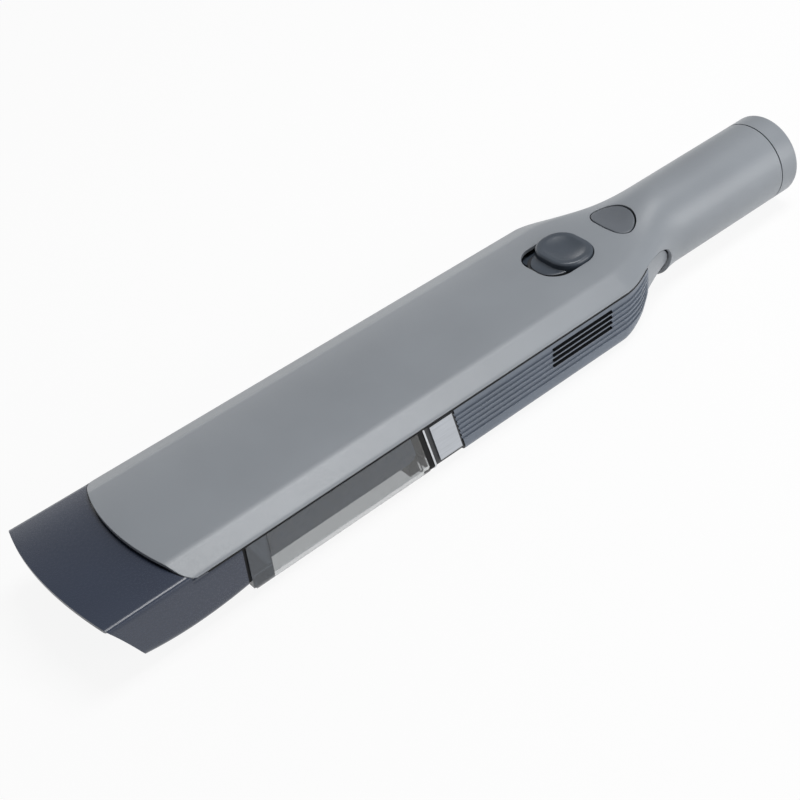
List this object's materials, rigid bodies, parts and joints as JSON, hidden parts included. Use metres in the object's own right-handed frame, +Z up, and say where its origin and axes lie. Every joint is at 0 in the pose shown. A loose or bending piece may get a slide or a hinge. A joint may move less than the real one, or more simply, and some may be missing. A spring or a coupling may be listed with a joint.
{
  "type": "handheld vacuum cleaner",
  "caption": "Cordless wand-shaped hand vacuum: hinged slanted nozzle, clear dust cup with pleated filter, motor housing with side vents, and a round battery handle.",
  "frame": {"origin": "under the middle of the object, on the plane that its underside rests on", "axes": "+X from the nozzle towards the handle, +Y to the left seen from the handle end looking at the nozzle, +Z up"},
  "size_m": [0.4295, 0.0806, 0.0445],
  "materials": {
    "cover_plastic": "satin moulded plastic",
    "nozzle_plastic": "fine grained",
    "housing_plastic": "satin moulded plastic",
    "clear_plastic": "smoke tinted clear plastic",
    "dark_clear_plastic": "dark tinted",
    "inner_plastic": "matt black",
    "liner_plastic": "satin",
    "button_plastic": "satin",
    "slider_plastic": "satin",
    "seal_rubber": "matt",
    "trim_chrome": "bright",
    "badge_metal": "brushed",
    "spring_steel": "bright drawn",
    "motor_steel": "zinc plated",
    "core_steel": "laminated",
    "bush_brass": "sintered",
    "contact_brass": "plated",
    "filter_paper": "pleated paper",
    "foam": "open cell foam",
    "board": "solder mask",
    "cell_sleeve": "sleeved",
    "link_nickel": "nickel strip",
    "screw_steel": "blackened"
  },
  "bodies": {
    "main_body": {"top_cover": "cover_plastic", "end_cap": "cover_plastic", "charge_contacts": "contact_brass", "contact_board": "board", "motor_housing": "housing_plastic", "neck_saddle": "cover_plastic", "cup_gasket": "seal_rubber", "trim_ring": "trim_chrome", "housing_collar": "inner_plastic", "badge_plate_left": "badge_metal", "badge_plate_right": "badge_metal", "slider_track": "inner_plastic", "slider_spring": "spring_steel", "release_spring": "spring_steel", "motor_bulkhead": "inner_plastic", "fan_shroud": "inner_plastic", "motor_can": "motor_steel", "motor_end_bell": "inner_plastic", "motor_bearings": "bush_brass", "motor_magnets": "core_steel", "motor_mount_ring": "seal_rubber", "motor_cradle": "inner_plastic", "exhaust_foam": "foam", "battery_cells": "cell_sleeve", "cell_links": "link_nickel", "battery_holder_front": "inner_plastic", "battery_holder_rear": "inner_plastic", "control_board": "board", "board_screws": "screw_steel", "power_switch": "inner_plastic", "button_spring": "spring_steel", "housing_screws": "screw_steel"},
    "cup": {"dust_cup": "clear_plastic", "cup_collar": "dark_clear_plastic", "cup_liner": "liner_plastic", "filter_frame": "inner_plastic", "filter_pleats": "filter_paper", "mesh_screen": "inner_plastic", "nozzle_seal": "seal_rubber", "hinge_pin": "spring_steel", "door_spring": "spring_steel", "latch_pin": "spring_steel"},
    "nozzle": {"nozzle_shell": "nozzle_plastic", "inlet_duct": "inner_plastic", "flap_pin": "spring_steel"},
    "flap": {"intake_flap": "seal_rubber"},
    "latch": {"nozzle_latch": "inner_plastic"},
    "slider": {"eject_slider": "slider_plastic", "push_rod": "inner_plastic"},
    "button": {"power_button": "button_plastic"},
    "plunger": {"switch_plunger": "inner_plastic"},
    "release": {"release_button": "button_plastic"},
    "rotor": {"impeller": "inner_plastic", "rotor_shaft": "spring_steel", "armature_core": "core_steel"}
  },
  "joints": [
    {"name": "cup_pull", "type": "slide", "parent": "main_body", "child": "cup", "axis": [-1, 0, 0], "range_m": [0, 0.16]},
    {"name": "nozzle_swing", "type": "hinge", "parent": "cup", "child": "nozzle", "pos_m": [-0.14475, 0, 0.0036], "axis": [0, -1, 0], "range_deg": [0, 80]},
    {"name": "flap_swing", "type": "hinge", "parent": "nozzle", "child": "flap", "pos_m": [-0.14445, 0, 0.0268], "axis": [0, -1, 0], "range_deg": [0, 60]},
    {"name": "eject_slide", "type": "slide", "parent": "main_body", "child": "slider", "axis": [-1, 0, 0], "range_m": [0, 0.0085], "stiffness_N_per_m": 300, "deforming": ["slider_spring"]},
    {"name": "latch_tip", "type": "hinge", "parent": "cup", "child": "latch", "pos_m": [-0.13875, 0, 0.0334], "axis": [0, 1, 0], "range_deg": [0, 6]},
    {"name": "power_press", "type": "slide", "parent": "main_body", "child": "button", "axis": [0, 0, -1], "range_m": [0, 0.0009], "stiffness_N_per_m": 900, "deforming": ["button_spring"]},
    {"name": "plunger_press", "type": "slide", "parent": "main_body", "child": "plunger", "axis": [0, 0, -1], "range_m": [0, 0.0009]},
    {"name": "release_press", "type": "slide", "parent": "main_body", "child": "release", "axis": [0, 0, 1], "range_m": [0, 0.0015], "stiffness_N_per_m": 900, "deforming": ["release_spring"]},
    {"name": "rotor_spin", "type": "hinge", "parent": "main_body", "child": "rotor", "pos_m": [0.00685, 0, 0.0182], "axis": [1, 0, 0], "continuous": true}
  ],
  "couplings": [
    {"joint": "latch_tip", "follows": "eject_slide", "rad_per_m": 12.3},
    {"joint": "plunger_press", "follows": "power_press", "ratio": 1}
  ]
}
